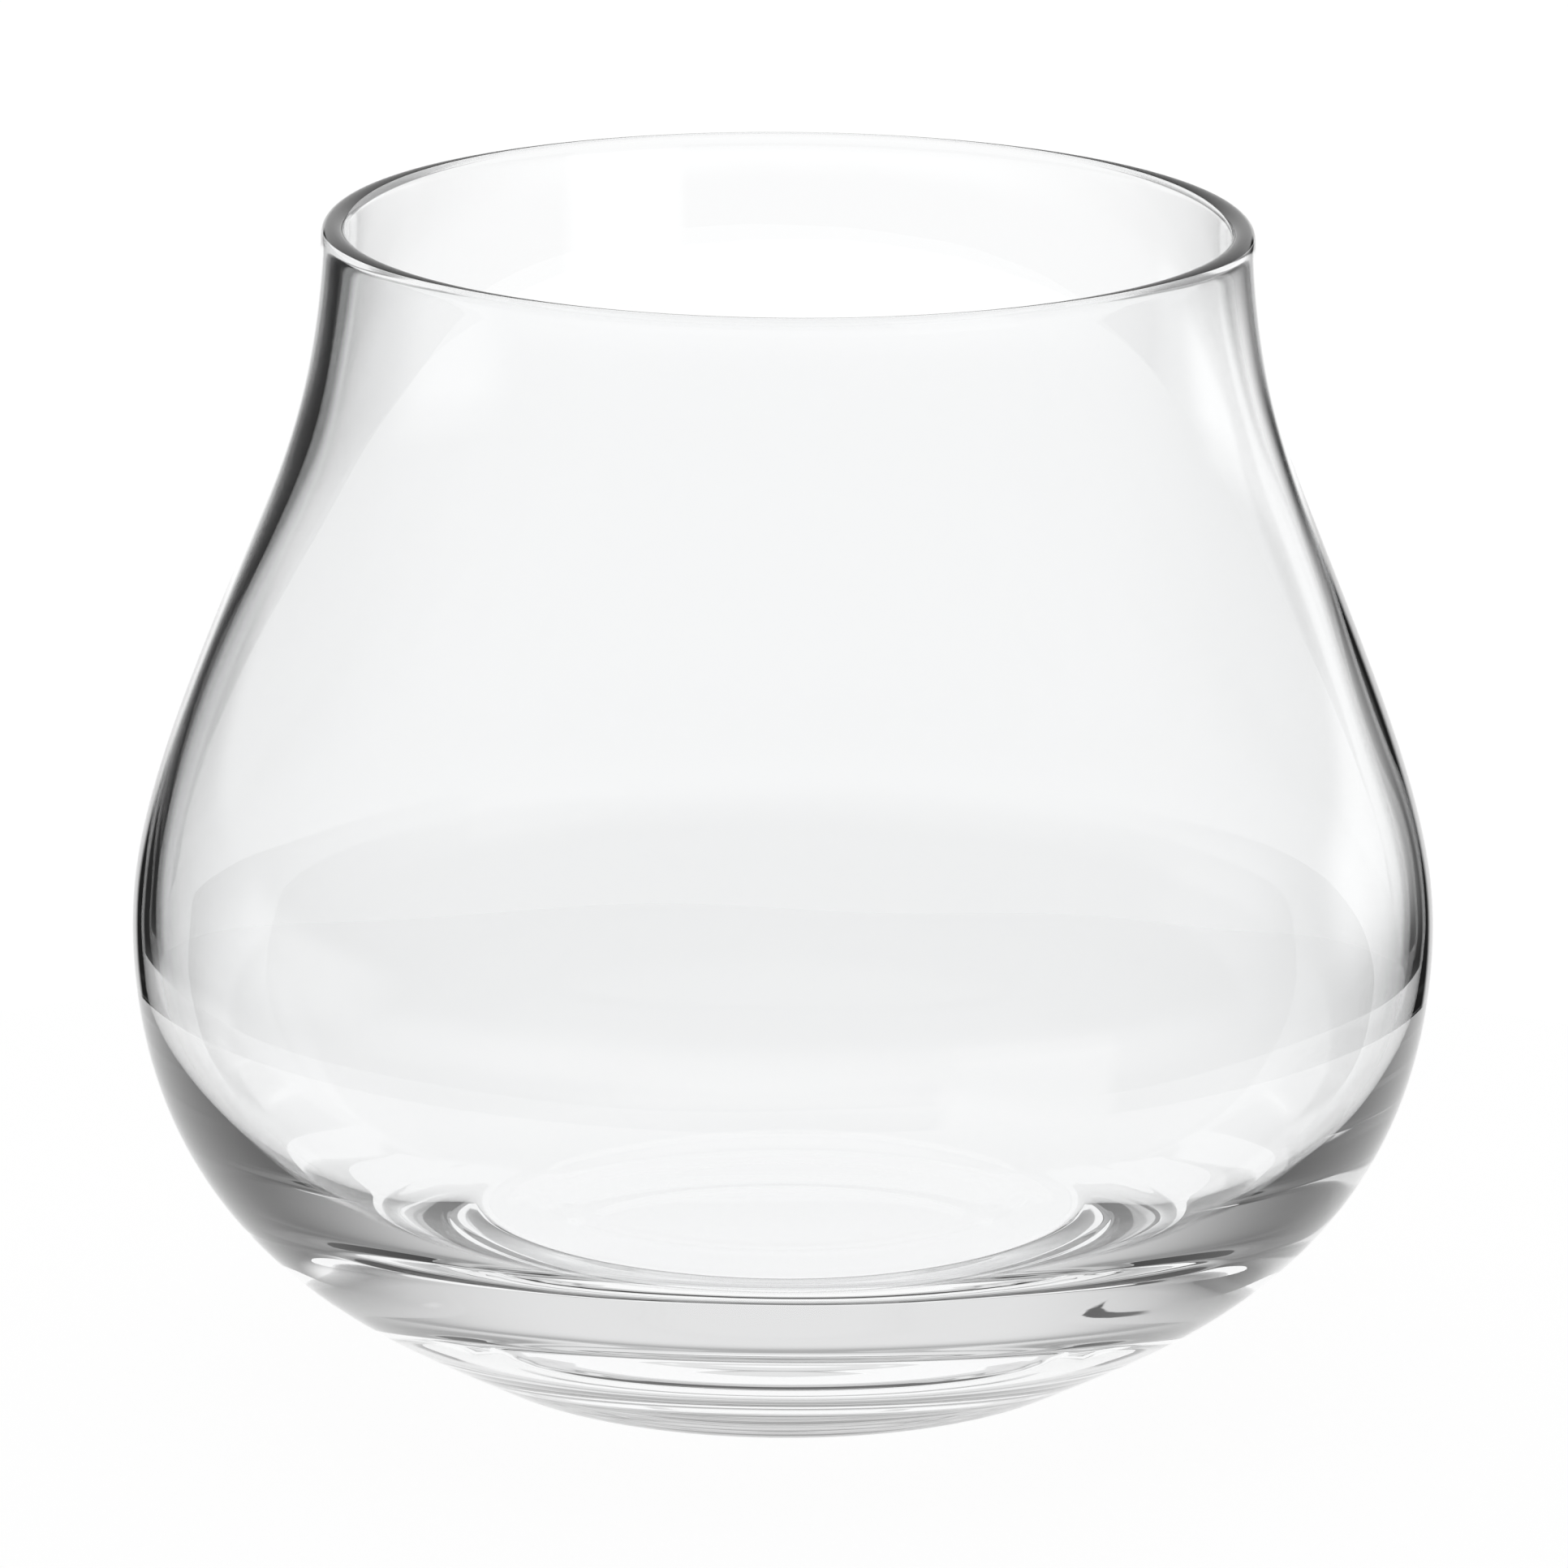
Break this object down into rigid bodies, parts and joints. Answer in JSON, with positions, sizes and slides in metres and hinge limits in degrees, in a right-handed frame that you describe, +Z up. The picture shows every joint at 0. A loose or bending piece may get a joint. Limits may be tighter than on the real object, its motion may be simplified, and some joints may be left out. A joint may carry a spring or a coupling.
{
  "type": "mixing glass",
  "caption": "Stemless round-bellied clear mixing glass with a thick base, a drawn-in neck and a rounded rim, for stirring drinks.",
  "frame": {"origin": "on the glass's axis, at the level of the ring that it stands on", "axes": "+Z up along the axis of the round body; X and Y are alike"},
  "size_m": [0.118, 0.118, 0.1054],
  "materials": {
    "clear_glass": "clear, fire-polished"
  },
  "bodies": {
    "root": {"glass_body": "clear_glass"}
  },
  "joints": []
}
